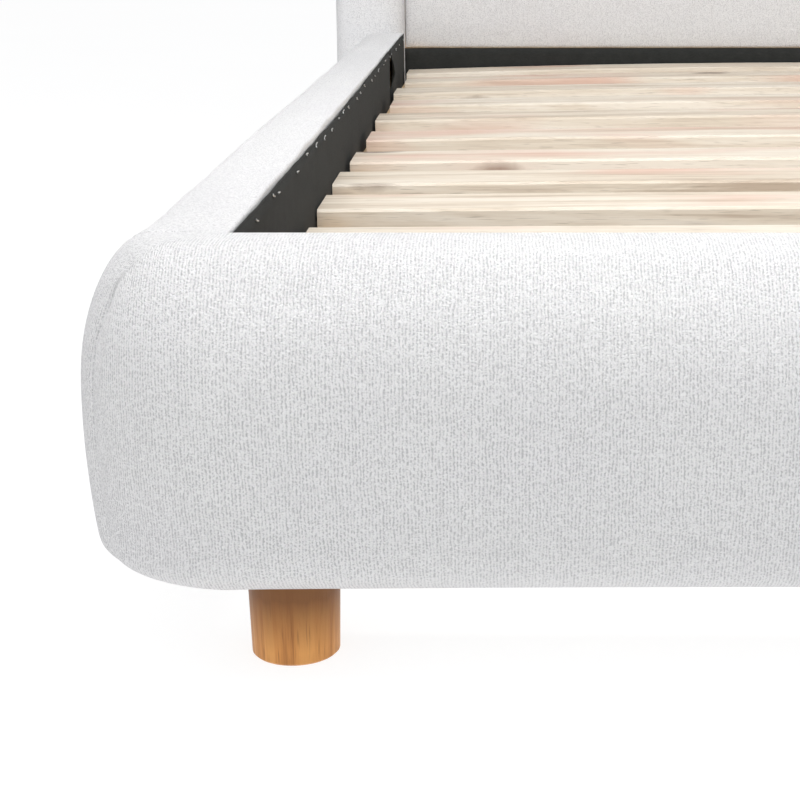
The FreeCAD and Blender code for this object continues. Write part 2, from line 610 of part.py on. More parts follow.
def centre_support():
    """The centre beam on two hangers and three posts, each post with an adjusting foot."""
    foot_face = f"({FOOT_IN} + fit_gap * 2 + liner_thick)"
    head_face = f"({PAD_FRONT} - fit_gap * 2 - liner_thick)"
    half = "beam_wide / 2"
    beam_along = (f"{foot_face} + steel_thick + beam_end", f"{head_face} - steel_thick - beam_end")
    keep("centre_beam", block("centre_beam", (f"-{half}", half), beam_along, BEAM_UP))

    hangers, screws = [], []
    for name, wall, inward in (("foot", foot_face, 1), ("head", head_face, -1)):
        step = "+" if inward > 0 else "-"
        reach = f"{wall} {step} hanger_long"
        plate_face = f"{wall} {step} steel_thick"
        along, hollow, tongue_along = (
            span if inward > 0 else span[::-1]
            for span in ((wall, reach), (plate_face, f"{reach} {step} overshoot"), (wall, plate_face))
        )
        outside = (f"-{half} - steel_thick - fit_gap", f"{half} + steel_thick + fit_gap")
        inside = (f"-{half} - fit_gap", f"{half} + fit_gap")
        up = (f"{BEAM_UP[0]} - steel_thick", f"{BEAM_UP[1]} - hanger_lip")
        shell = block(f"hanger_{name}_block", outside, along, up)
        inner = block(f"hanger_{name}_inside", inside, hollow, (BEAM_UP[0], BEAM_UP[1]))
        tongue = block(f"hanger_{name}_tongue", outside, tongue_along, (f"{BEAM_UP[0]} - tongue_tall", up[0]))
        bare = cut(f"hanger_{name}_shell", shell, [inner])
        whole = doc.addObject("Part::Fuse", f"hanger_{name}_whole")
        whole.Base = bare
        whole.Tool = tongue
        spot = ("0", plate_face, f"{BEAM_UP[0]} - tongue_screw")
        hole = ("0", f"{wall} {'-' if inward > 0 else '+'} overshoot", spot[2])
        bore = rod(f"hanger_{name}_hole", "bolt_bore", "drill_long", hole, (0, inward, 0))
        hangers.append(cut(f"beam_hanger_{name}", whole, [bore]))
        screws.append(screw(f"beam_screw_{name}", spot, (0, -inward, 0), "screw_long"))
    group("beam_hangers", hangers)
    group("beam_screws", screws)

    for k, share in enumerate(POST_SHARES, start=1):
        y = f"{FOOT_IN} + inner_length * {share}"
        wide = "post_wide / 2"
        post = block(f"post_{k}", (f"-{wide}", wide), (f"{y} - {wide}", f"{y} + {wide}"), ("post_low", BEAM_UP[0]))
        bore = rod(f"post_bore_{k}", "post_bore", "bore_deep", ("0", y, "post_low - overshoot"), (0, 0, 1))
        keep(f"centre_post_{k}", cut(f"centre_post_{k}", post, [bore]))
        profile = [
            ("0", "0"),
            ("pad_radius - pad_bevel", "0"),
            ("pad_radius", "pad_bevel"),
            ("pad_radius", "pad_tall"),
            ("stem_radius", "pad_tall"),
            ("stem_radius", "pad_tall + stem_long"),
            ("0", "pad_tall + stem_long"),
        ]
        place(turned(f"centre_foot_{k}", profile), "0", y, "0")


foot_rail()
for side, hand in ((-1, "left"), (1, "right")):
    side_rail(side, hand, "front", FOOT_IN, f"{SPLIT} - joint_gap / 2", 4)
    side_rail(side, hand, "rear", f"{SPLIT} + joint_gap / 2", HEAD_IN, 1)
headboard()
for number, (nudge, drift) in enumerate(zip(SLAT_NUDGE, SLAT_DRIFT)):
    slat(number, nudge, drift)
centre_support()
legs()
steelwork()
doc.recompute()

for item in doc.Objects:
    if "Invalid" in item.State or "Error" in item.State:
        raise RuntimeError(f"{item.Label} did not build: {item.State}")
for name, piece in nodes.items():
    if piece.Shape.isNull() or not piece.Shape.isValid():
        raise RuntimeError(f"{name} has no valid shape")
for name, piece in nodes.items():
    piece.Shape.exportStep(f"parts/{name}.step")

whole = Part.makeCompound([piece.Shape for piece in nodes.values()])
box = whole.BoundBox
print(f"{len(nodes)} pieces, {box.XLength:.1f} x {box.YLength:.1f} x {box.ZLength:.1f} mm")
print(f"middle {box.Center.x:.2f}, {box.Center.y:.2f}, lowest point {box.ZMin:.2f}")
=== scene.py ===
import math

import bmesh
import bpy
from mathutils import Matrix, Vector, noise


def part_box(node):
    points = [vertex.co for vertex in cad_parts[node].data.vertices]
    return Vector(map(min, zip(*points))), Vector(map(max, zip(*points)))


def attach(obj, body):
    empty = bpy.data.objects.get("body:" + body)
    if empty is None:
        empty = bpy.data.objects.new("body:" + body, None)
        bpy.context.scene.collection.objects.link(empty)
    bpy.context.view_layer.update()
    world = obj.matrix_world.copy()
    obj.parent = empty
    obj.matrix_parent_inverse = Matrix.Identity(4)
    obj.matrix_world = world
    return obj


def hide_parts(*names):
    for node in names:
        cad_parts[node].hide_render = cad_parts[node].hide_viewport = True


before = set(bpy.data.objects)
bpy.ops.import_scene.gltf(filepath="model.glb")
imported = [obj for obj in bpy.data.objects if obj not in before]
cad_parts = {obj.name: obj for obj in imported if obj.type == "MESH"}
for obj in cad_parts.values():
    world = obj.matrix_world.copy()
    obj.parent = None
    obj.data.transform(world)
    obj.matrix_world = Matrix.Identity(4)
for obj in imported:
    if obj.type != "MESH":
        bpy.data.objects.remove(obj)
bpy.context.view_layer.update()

scene = bpy.context.scene

# ---------------------------------------------------------------- sizes, in metres

INNER_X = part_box("right_rail_front_cover")[0].x
RAIL_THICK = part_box("right_rail_front_cover")[1].x - INNER_X
RAIL_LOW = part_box("foot_rail_cover")[0].z
RAIL_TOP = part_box("foot_rail_cover")[1].z
PIVOT_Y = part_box("foot_rail_cover")[1].y
LIP = 0.0025
TOP_ACROSS, TOP_DOWN = 0.037, 0.094
LOW_ACROSS, LOW_UP = 0.088, 0.033
SIDE_BELLY = 0.010
FRAME_DEEP = 0.0453
FRAME_REACH = 0.0405
CAVITY_LOW, CAVITY_TOP = RAIL_LOW + 0.0117, RAIL_TOP - 0.0197
SEAM_INSET = 0.050
SEAM_SINE = 0.72
SEAM_START = SEAM_INSET / SEAM_SINE
SEAM_DEEP = 0.0036
SPLIT_ROUND = 0.006
LINING_RISE = 0.0026
SAG, SAG_LONG = 0.0050, 1.5
FLARE, FLARE_FROM = 0.0065, 0.222

BORDER_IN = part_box("headboard_right_border")[0].x
BORDER_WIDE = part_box("headboard_right_border")[1].x - BORDER_IN
BORDER_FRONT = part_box("headboard_top_border")[0].y
BOARD_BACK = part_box("headboard_top_border")[1].y
BORDER_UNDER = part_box("headboard_top_border")[0].z
BORDER_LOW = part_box("headboard_left_border")[0].z
BORDER_ROLL = 0.024
BORDER_WALL, BORDER_HOLLOW = 0.0158, 0.0623
SIDE_DROP, TOP_DROP, BOTTOM_DROP, DROP_LIMIT = 0.021, 0.018, 0.004, 0.0235
BACK_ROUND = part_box("headboard_back_cloth")[1].x - BORDER_IN

RIB = 0.0022
LOOP = 0.00125
FELT_THICK = 0.0009
STAPLE_BELOW = 0.007
STAPLE_PROUD = 0.0007
SIDE_STEP, FOOT_STEP, BACK_STEP = 0.074, 0.078, 0.052

CLOTH_PRESSURE = 4.0
CLOTH_FRAMES = 20
WELD = 0.00002
RAIL_SWELL, BORDER_SWELL, PAD_SWELL = 0.0022, 0.0025, 0.0012

FLOOR_GLOW = 0.85
ROOM_GLOW = 0.49
LAMP_TINT = (1.0, 0.99, 0.98)
CAMERA_DOWN = 0.2753


# ---------------------------------------------------------------- materials

class Nodes:
    """Short words for making one material's node tree."""

    def __init__(self, name):
        self.material = bpy.data.materials.new(name)
        self.material.use_nodes = True
        self.tree = self.material.node_tree
        self.shader = self.tree.nodes["Principled BSDF"]

    def add(self, kind, settings=None):
        node = self.tree.nodes.new(kind)
        for key, setting in (settings or {}).items():
            setattr(node, key, setting)
        return node

    def feed(self, socket, given):
        if isinstance(given, bpy.types.NodeSocket):
            self.tree.links.new(given, socket)
        else:
            socket.default_value = given

    def place(self, source="Object"):
        return self.add("ShaderNodeTexCoord").outputs[source]

    def scaled(self, source, scale, shift=(0, 0, 0)):
        node = self.add("ShaderNodeMapping")
        self.feed(node.inputs["Vector"], source)
        node.inputs["Scale"].default_value = scale
        node.inputs["Location"].default_value = shift
        return node.outputs["Vector"]

    def math(self, operation, first, second=0.0, third=0.0):
        node = self.add("ShaderNodeMath", {"operation": operation})
        for socket, given in zip(node.inputs, (first, second, third)):
            self.feed(socket, given)
        return node.outputs[0]

    def noise(self, source, scale, detail=3.0, rough=0.5, warp=0.0):
        node = self.add("ShaderNodeTexNoise")
        self.feed(node.inputs["Vector"], source)
        node.inputs["Scale"].default_value = scale
        node.inputs["Detail"].default_value = detail
        node.inputs["Roughness"].default_value = rough
        node.inputs["Distortion"].default_value = warp
        return node.outputs["Fac"]

    def cells(self, source, jitter=1.0):
        node = self.add("ShaderNodeTexVoronoi", {"feature": "F1"})
        self.feed(node.inputs["Vector"], source)
        node.inputs["Scale"].default_value = 1.0
        node.inputs["Randomness"].default_value = jitter
        return node.outputs["Distance"]

    def ramp(self, source, stops):
        node = self.add("ShaderNodeValToRGB")
        self.feed(node.inputs["Fac"], source)
        bar = node.color_ramp.elements
        while len(bar) < len(stops):
            bar.new(0.5)
        for element, (where, shade) in zip(bar, stops):
            element.position = where
            element.color = (*shade, 1.0)
        return node.outputs["Color"]

    def blend(self, share, first, second, kind="MIX"):
        node = self.add("ShaderNodeMix", {"data_type": "RGBA", "blend_type": kind})
        for socket, given in ((0, share), (6, first), (7, second)):
            if not isinstance(given, (bpy.types.NodeSocket, float, int)) and len(given) == 3:
                given = (*given, 1.0)
            self.feed(node.inputs[socket], given)
        return node.outputs[2]

    def span(self, source, low, high, to_low=0.0, to_high=1.0):
        node = self.add("ShaderNodeMapRange")
        keys = ("Value", "From Min", "From Max", "To Min", "To Max")
        for key, given in zip(keys, (source, low, high, to_low, to_high)):
            self.feed(node.inputs[key], given)
        return node.outputs["Result"]

    def bump(self, height, strength, distance):
        node = self.add("ShaderNodeBump")
        node.inputs["Strength"].default_value = strength
        node.inputs["Distance"].default_value = distance
        self.feed(node.inputs["Height"], height)
        return node.outputs["Normal"]

    def finish(self, colour, roughness, normal=None, **sockets):
        self.feed(self.shader.inputs["Base Color"], colour)
        self.feed(self.shader.inputs["Roughness"], roughness)
        if normal is not None:
            self.feed(self.shader.inputs["Normal"], normal)
        for key, given in sockets.items():
            self.shader.inputs[key.replace("_", " ")].default_value = given
        return self.material


def boucle_fabric():
    """White boucle: small loops packed close, in faint ribs that run over the rail, with painted shade in the
    hollows between the loops and a painted shade line along the corner seams.
    """
    n = Nodes("white_boucle")
    flat = n.place("UV")
    wander = n.noise(n.scaled(flat, (120, 60, 1)), 1.0, 2.0)
    ribs_at = n.add("ShaderNodeSeparateXYZ")
    n.feed(ribs_at.inputs[0], flat)
    across = n.math("MULTIPLY_ADD", ribs_at.outputs["X"], 2 * math.pi / RIB, n.math("MULTIPLY", wander, 9.0))
    rib = n.span(n.math("SINE", across), -1.0, 1.0)
    sway = n.add("ShaderNodeVectorMath", {"operation": "SCALE"})
    n.feed(sway.inputs[0], n.add("ShaderNodeTexNoise").outputs["Color"])
    warp = sway.inputs[0].links[0].from_node
    warp.inputs["Scale"].default_value = 330.0
    n.feed(warp.inputs["Vector"], flat)
    sway.inputs["Scale"].default_value = 0.0024
    curl = n.add("ShaderNodeVectorMath", {"operation": "ADD"})
    n.feed(curl.inputs[0], flat)
    n.feed(curl.inputs[1], sway.outputs[0])
    loops = n.cells(n.scaled(curl.outputs[0], (1 / LOOP, 1 / LOOP, 1)), 0.95)
    loop = n.span(loops, 0.05, 0.75, 1.0, 0.0)
    curls = n.cells(n.scaled(curl.outputs[0], (2.1 / LOOP, 1.8 / LOOP, 1), (3, 5, 0)))
    curly = n.span(curls, 0.0, 0.8, 1.0, 0.0)
    fuzz = n.noise(flat, 1700.0, 2.0, 0.7)
    loopy = n.math("MULTIPLY_ADD", loop, 0.62, n.math("MULTIPLY", curly, 0.38))
    height = n.math("MULTIPLY_ADD", rib, 0.34, loopy)
    height = n.math("MULTIPLY_ADD", fuzz, 0.22, height)
    patch = n.noise(n.place(), 9.0, 3.0, 0.55)
    # Painted shade: the colour darkens from the loops' tops down into the hollows between the loops and ribs,
    # where shade falls.
    depth = n.span(height, 0.28, 1.05)
    pit_shade_stops = [(0.0, (0.60, 0.60, 0.608)), (0.42, (0.895, 0.895, 0.90)), (1.0, (0.96, 0.96, 0.955))]
    pit_shaded_colour = n.ramp(depth, pit_shade_stops)
    tone = n.ramp(patch, [(0.3, (0.972, 0.968, 0.978)), (0.7, (1.0, 1.0, 1.0))])
    colour = n.blend(1.0, pit_shaded_colour, tone, "MULTIPLY")
    # Painted shade: a dashed grey line darkens the cloth along the corner seams, where shade falls into the
    # seam's groove.
    near_seam_share = n.add("ShaderNodeAttribute", {"attribute_name": "seam"}).outputs["Fac"]
    seam_groove_shade = n.math("MULTIPLY", near_seam_share, n.span(curly, 0.2, 0.8, 0.80, 0.25))
    colour = n.blend(seam_groove_shade, colour, (0.50, 0.50, 0.51))
    rough = n.span(fuzz, 0.2, 0.8, 0.86, 0.98)
    normal = n.bump(height, 0.95, 0.0010)
    return n.finish(colour, rough, normal, Sheen_Weight=0.25, Sheen_Roughness=0.5, Specular_IOR_Level=0.25)


def lining_felt(name, shade, weave):
    """Needle-punched lining felt: short fibres lying every way, a little pilled."""
    n = Nodes(name)
    at = n.place()
    fibres = n.noise(n.scaled(at, (900, 900, 900)), 1.0, 4.0, 0.65, 1.2)
    streaks = n.noise(n.scaled(at, (140, 140, 900)), 1.0, 3.0, 0.6)
    tufts = n.noise(at, 60.0, 3.0, 0.6)
    mix = n.math("MULTIPLY_ADD", fibres, 0.6, n.math("MULTIPLY", streaks, 0.4))
    dark = tuple(c * 0.62 for c in shade)
    light = tuple(min(1.0, c * 1.45) for c in shade)
    colour = n.ramp(mix, [(0.30, dark), (0.55, shade), (0.75, light)])
    colour = n.blend(n.span(tufts, 0.35, 0.75, 0.0, 0.35), colour, light)
    normal = n.bump(mix, 0.6, weave)
    rough = n.span(fibres, 0.2, 0.8, 0.88, 1.0)
    return n.finish(colour, rough, normal, Sheen_Weight=0.03, Sheen_Roughness=0.6, Specular_IOR_Level=0.1)


def grained_wood(name, along, pale, mid, dark, knots=0.0, pink=0.0, painted_top_shade=0.0, grain=1.0, gloss=0.55):
    """Wood with its grain along one axis: early and late wood, pores, knots, pink and dark patches, and,
    where asked, painted shade that darkens it towards the top.
    """
    n = Nodes(name)
    at = n.place()

    def drawn(cross, run, shift=(0, 0, 0)):
        """The place, scaled by run along the grain and by cross over it."""
        return n.scaled(at, tuple(run if k == along else cross for k in range(3)), shift)

    sway = n.noise(drawn(38.0 * grain, 1.7), 0.9, 3.0, 0.55, 0.8)
    rings = n.noise(drawn(9.0, 0.9), 3.0, 4.0, 0.6, 1.6)
    fine = n.noise(drawn(420.0, 9.0), 1.0, 3.0, 0.6)
    pores = n.noise(drawn(900.0, 38.0), 1.0, 1.0, 0.5)
    slow = n.math("MULTIPLY_ADD", rings, 0.35, n.math("MULTIPLY", fine, 0.22))
    base = n.math("MULTIPLY_ADD", sway, 0.5, slow)
    colour = n.ramp(base, [(0.40, dark), (0.505, mid), (0.60, pale)])
    pore_dark = n.span(pores, 0.62, 0.74, 0.0, 0.45)
    colour = n.blend(pore_dark, colour, tuple(c * 0.55 for c in dark))
    if knots:
        spot = n.cells(drawn(9.0, 4.2))
        spot = n.math("MULTIPLY_ADD", n.noise(at, 70.0, 3.0, 0.6), 0.05, spot)
        eye = n.span(spot, 0.10, 0.19, knots, 0.0)
        colour = n.blend(eye, colour, (0.16, 0.10, 0.065))
        smear = n.noise(drawn(60.0, 3.2, (3, 5, 7)), 1.0, 3.0, 0.6)
        colour = n.blend(n.span(smear, 0.64, 0.76, 0.0, 0.55 * knots), colour, (0.20, 0.14, 0.10))
    if pink:
        flush = n.noise(drawn(9.0, 3.0, (11, 2, 4)), 1.0, 2.0, 0.5)
        colour = n.blend(n.span(flush, 0.52, 0.72, 0.0, pink), colour, (0.66, 0.42, 0.33))
    # Painted shade: the wood grows darker towards the top of the piece (object z 0.016 to 0.052 m), where the
    # rail above shades the legs; the sway noise only wobbles its edge.
    if painted_top_shade:
        level = n.add("ShaderNodeSeparateXYZ")
        n.feed(level.inputs[0], at)
        shade_rise = n.math("MULTIPLY_ADD", sway, 0.012, level.outputs["Z"])
        colour = n.blend(n.span(shade_rise, 0.016, 0.052, 0.0, painted_top_shade), colour, tuple(c * 0.5 for c in dark))
    height = n.math("MULTIPLY_ADD", fine, 0.7, n.math("MULTIPLY", pores, -0.5))
    normal = n.bump(height, 0.35, 0.0006)
    rough = n.span(base, 0.3, 0.7, gloss + 0.12, gloss - 0.05)
    return n.finish(colour, rough, normal, Specular_IOR_Level=0.35)


def layered_ply():
    """Plywood: thin cross-laid layers, seen as stripes on its cut edges."""
    n = Nodes("board_plywood")
    at = n.place()
    layers = n.add("ShaderNodeSeparateXYZ")
    n.feed(layers.inputs[0], at)
    stripe = n.span(n.math("SINE", n.math("MULTIPLY", layers.outputs["Y"], 2 * math.pi / 0.003)), -0.2, 0.2)
    grain = n.noise(n.scaled(at, (24, 300, 3)), 1.0, 4.0, 0.6, 0.6)
    face = n.ramp(grain, [(0.3, (0.45, 0.30, 0.17)), (0.7, (0.68, 0.50, 0.31))])
    colour = n.blend(n.math("MULTIPLY", stripe, 0.25), face, (0.36, 0.24, 0.14))
    return n.finish(colour, n.span(grain, 0.3, 0.7, 0.75, 0.6), n.bump(grain, 0.3, 0.0005))


def coated_steel():
    """Black powder coat: a fine orange-peel texture, with faintly patchy colour."""
    n = Nodes("steel_black")
    at = n.place()
    peel = n.noise(at, 900.0, 2.0, 0.6)
    dust = n.noise(at, 40.0, 4.0, 0.6)
    colour = n.ramp(dust, [(0.35, (0.012, 0.012, 0.013)), (0.75, (0.030, 0.030, 0.032))])
    return n.finish(colour, n.span(peel, 0.3, 0.7, 0.42, 0.58), n.bump(peel, 0.35, 0.0004), Metallic=0.3)


def bright_zinc(name, shade):
    """Zinc plate or staple wire: bright, with dull patches and fine scratches."""
    n = Nodes(name)
    at = n.place()
    cloud = n.noise(at, 260.0, 3.0, 0.6)
    lines = n.noise(n.scaled(at, (2600, 300, 300)), 1.0, 2.0, 0.6)
    colour = n.ramp(cloud, [(0.3, tuple(c * 0.75 for c in shade)), (0.7, shade)])
    return n.finish(colour, n.span(lines, 0.3, 0.7, 0.22, 0.40), n.bump(lines, 0.15, 0.0002), Metallic=0.95)


def moulded_plastic():
    """Black moulded plastic with a fine spark-eroded surface."""
    n = Nodes("foot_plastic")
    at = n.place()
    spark = n.noise(at, 1500.0, 2.0, 0.7)
    flow = n.noise(at, 30.0, 2.0, 0.5)
    colour = n.ramp(flow, [(0.3, (0.016, 0.016, 0.017)), (0.7, (0.026, 0.026, 0.028))])
    return n.finish(colour, n.span(spark, 0.3, 0.7, 0.50, 0.66), n.bump(spark, 0.3, 0.0003))


def pale_floor():
    """Plain pale floor, with the faintest unevenness."""
    n = Nodes("pale_floor")
    cloud = n.noise(n.place(), 1.5, 2.0, 0.5)
    colour = n.ramp(cloud, [(0.3, (0.20, 0.20, 0.202)), (0.7, (0.21, 0.21, 0.21))])
    return n.finish(colour, 0.9, None, Emission_Color=(1, 1, 1, 1), Emission_Strength=FLOOR_GLOW)


BOUCLE = boucle_fabric()
FELT = lining_felt("charcoal_felt", (0.0300, 0.0314, 0.0300), 0.0009)
CAMBRIC = lining_felt("black_cambric", (0.020, 0.020, 0.022), 0.0004)
SLAT_WOOD = grained_wood(
    "slat_veneer",
    0,
    (0.77, 0.70, 0.60),
    (0.68, 0.595, 0.485),
    (0.48, 0.385, 0.295),
    knots=0.8,
    pink=0.75,
    grain=0.9,
)
# The legs take painted shade that darkens them towards their tops, under the rail.
LEG_WOOD = grained_wood(
    "stained_oak",
    2,
    (0.74, 0.345, 0.098),
    (0.62, 0.265, 0.070),
    (0.38, 0.145, 0.037),
    painted_top_shade=0.95,
    grain=5.5,
    gloss=0.42,
)
FRAME_WOOD = grained_wood(
    "pine_timber", 1, (0.75, 0.58, 0.36), (0.66, 0.47, 0.27), (0.48, 0.31, 0.16), knots=0.6
)
PLYWOOD = layered_ply()
STEEL = coated_steel()
ZINC = bright_zinc("screw_zinc", (0.78, 0.79, 0.80))
STAPLE = bright_zinc("staple_wire", (0.93, 0.93, 0.93))
PLASTIC = moulded_plastic()


# ---------------------------------------------------------------- mesh makers

def clamped(share):
    return min(1.0, max(0.0, share))


def line(start, end, count):
    """Even steps from start to end, without the end."""
    return [tuple(a + (b - a) * k / count for a, b in zip(start, end)) for k in range(count)]


def rail_section(deep):
    """The rail's section as (outward, up) points: a padded C that holds the timber, deep metres in."""
    height = RAIL_TOP - RAIL_LOW
    middle = RAIL_LOW + height / 2

    def belly(outward, up):
        tilt = (up - middle) / (height / 2)
        return outward - SIDE_BELLY * tilt * tilt * min(1.0, outward / 0.06), up

    points = [(0.0, CAVITY_TOP + 0.001), (0.0, RAIL_TOP - LIP)]
    points += [
        (LIP - LIP * math.cos(a), RAIL_TOP - LIP + LIP * math.sin(a))
        for a in (math.pi / 8, math.pi / 4, 3 * math.pi / 8, math.pi / 2)
    ]
    flat_end = RAIL_THICK - TOP_ACROSS
    points += line((LIP + 0.006, RAIL_TOP), (flat_end, RAIL_TOP), 6)
    for k in range(15):
        a = math.pi / 2 * k / 14
        points.append((flat_end + TOP_ACROSS * math.sin(a), RAIL_TOP - TOP_DOWN + TOP_DOWN * math.cos(a)))
    points += line((RAIL_THICK, RAIL_TOP - TOP_DOWN), (RAIL_THICK, RAIL_LOW + LOW_UP), 11)[1:]
    for k in range(14):
        a = math.pi / 2 * k / 13
        outward = RAIL_THICK - LOW_ACROSS + LOW_ACROSS * math.cos(a)
        points.append((outward, RAIL_LOW + LOW_UP - LOW_UP * math.sin(a)))
    points += [(0.006, RAIL_LOW), (0.0, RAIL_LOW + 0.001)]
    outer = [belly(*p) for p in points]
    inner = [
        (0.0, CAVITY_LOW),
        (deep * 0.5, CAVITY_LOW),
        (deep, CAVITY_LOW),
        (deep, (CAVITY_LOW + CAVITY_TOP) / 2),
        (deep, CAVITY_TOP),
        (deep * 0.5, CAVITY_TOP),
    ]
    return outer, inner


def skin(name, rings, across_of):
    """A closed shell from rings of points. across_of(strip, ring, point) says where a point lies across the
    cloth, in metres, as the strip between rings strip and strip + 1 has it."""
    mesh = bpy.data.meshes.new(name)
    shell = bmesh.new()
    count = len(rings[0])
    grid = [[shell.verts.new(p) for p in ring] for ring in rings]
    up = [0.0]
    middle = rings[len(rings) // 2]
    for k in range(count):
        up.append(up[-1] + (Vector(middle[(k + 1) % count]) - Vector(middle[k])).length)
    layer = shell.loops.layers.uv.new("cloth")
    for i in range(len(rings) - 1):
        for j in range(count):
            k = (j + 1) % count
            corners = ((i, j, up[j]), (i, k, up[j + 1]), (i + 1, k, up[j + 1]), (i + 1, j, up[j]))
            face = shell.faces.new([grid[a][b] for a, b, _ in corners])
            face.smooth = True
            for loop, (a, b, height) in zip(face.loops, corners):
                loop[layer].uv = (across_of(i, a, b), height)
    ends = [shell.faces.new(grid[0]), shell.faces.new(grid[-1])]
    for cap in ends:
        for loop in cap.loops:
            loop[layer].uv = (loop.vert.co.x + loop.vert.co.y, loop.vert.co.z)
    bmesh.ops.triangulate(shell, faces=ends)
    bmesh.ops.remove_doubles(shell, verts=shell.verts, dist=WELD)
    bmesh.ops.recalc_face_normals(shell, faces=shell.faces)
    shell.to_mesh(mesh)
    shell.free()
    piece = bpy.data.objects.new(name, mesh)
    scene.collection.objects.link(piece)
    return piece


def settle(piece, free, cap):
    """Blow the padding up against its cover. free(point) is how loose the cloth is at a point, from 0 to 1,
    and cap how far it may go."""
    mesh = piece.data
    start = [v.co.copy() for v in mesh.vertices]
    loose = [clamped(free(p)) for p in start]
    held = piece.vertex_groups.new(name="held")
    for k, share in enumerate(loose):
        if share < 0.05:
            held.add([k], 1.0, "REPLACE")
    cloth = piece.modifiers.new("cloth", "CLOTH")
    settings = cloth.settings
    settings.use_pressure = True
    settings.uniform_pressure_force = CLOTH_PRESSURE
    settings.effector_weights.gravity = 0.0
    settings.vertex_group_mass = "held"
    settings.quality = 5
    scene.frame_start, scene.frame_end = 1, CLOTH_FRAMES
    for step in range(1, CLOTH_FRAMES + 1):
        scene.frame_set(step)
    shown = piece.evaluated_get(bpy.context.evaluated_depsgraph_get())
    swollen = shown.to_mesh()
    for k, vertex in enumerate(mesh.vertices):
        move = swollen.vertices[k].co - start[k]
        if move.length > cap:
            move *= cap / move.length
        vertex.co = start[k] + move * loose[k]
    shown.to_mesh_clear()
    piece.modifiers.remove(cloth)
    piece.vertex_groups.remove(held)
    scene.frame_set(1)


def baked(piece, modifier):
    """Keep what a modifier makes as the piece's plain mesh."""
    made = bpy.data.meshes.new_from_object(piece.evaluated_get(bpy.context.evaluated_depsgraph_get()))
    piece.modifiers.remove(modifier)
    old = piece.data
    piece.data = made
    bpy.data.meshes.remove(old)
    made.name = piece.name


def refine(piece):
    """Subdivide once."""
    modifier = piece.modifiers.new("subdivision", "SUBSURF")
    modifier.levels = modifier.render_levels = 1
    baked(piece, modifier)


def ripple(point, size, seed):
    """A smooth wave of -1 to 1 about size metres long."""
    return noise.noise(Vector(point) / size + Vector((seed * 7.3, seed * 3.1, seed * 5.7)))


# ---------------------------------------------------------------- foot rail cover

OUTER, INNER = rail_section(FRAME_DEEP)


def turned_deep(angle):
    """How deep the timber's hollow goes from the pivot: it ends FRAME_REACH past the corner."""
    return min(
        FRAME_REACH / max(0.001, math.cos(angle)),
        FRAME_DEEP / max(0.001, math.sin(angle)),
    )


def seam_angle(outward):
    """The seam's turn from the side rail's line, at this distance from the corner's pivot."""
    return math.asin(min(SEAM_SINE, SEAM_INSET / max(outward, 0.0001)))


def warped(nominal, outward):
    """A ring's turn at this distance from the pivot, with the middle ring drawn onto the seam."""
    middle = math.pi / 4
    seam = seam_angle(max(outward, SEAM_START))
    if nominal <= middle:
        return nominal / middle * seam
    return math.pi / 2 - (math.pi / 2 - nominal) / middle * (math.pi / 2 - seam)


def groove(distance, up):
    """How far the seam pulls the cloth in, distance metres from the stitching."""
    pucker = 1.0 + 0.45 * math.sin(up * 2 * math.pi / 0.017) * math.exp(-((distance / 0.008) ** 2))
    soft_pull = 0.0011 * pucker * math.exp(-((distance / 0.012) ** 2))
    return SEAM_DEEP * math.exp(-abs(distance) / 0.0035) + soft_pull


def corner_ring(nominal, side):
    """One ring of the turned corner. side is -1 for the left corner and 1 for the right one."""
    ring = []
    top_share = RAIL_TOP - TOP_DOWN * 0.2
    for outward, up in OUTER:
        angle = warped(nominal, outward)
        pull = 0.0
        if outward > 0.02:
            distance = (angle - seam_angle(max(outward, SEAM_START))) * outward
            fade = clamped((top_share - up) / 0.03) if up > RAIL_TOP - 0.03 else 1.0
            pull = groove(distance, up) * fade
        away = outward - pull if outward > 0.03 else outward
        lift = -pull * 0.35 if up > RAIL_TOP - 0.05 else 0.0
        ring.append((side * (INNER_X + away * math.cos(angle)), PIVOT_Y - away * math.sin(angle), up + lift))
    _, inner = rail_section(turned_deep(nominal))
    for outward, up in inner:
        x = side * (INNER_X + outward * math.cos(nominal))
        ring.append((x, PIVOT_Y - outward * math.sin(nominal), up))
    return ring


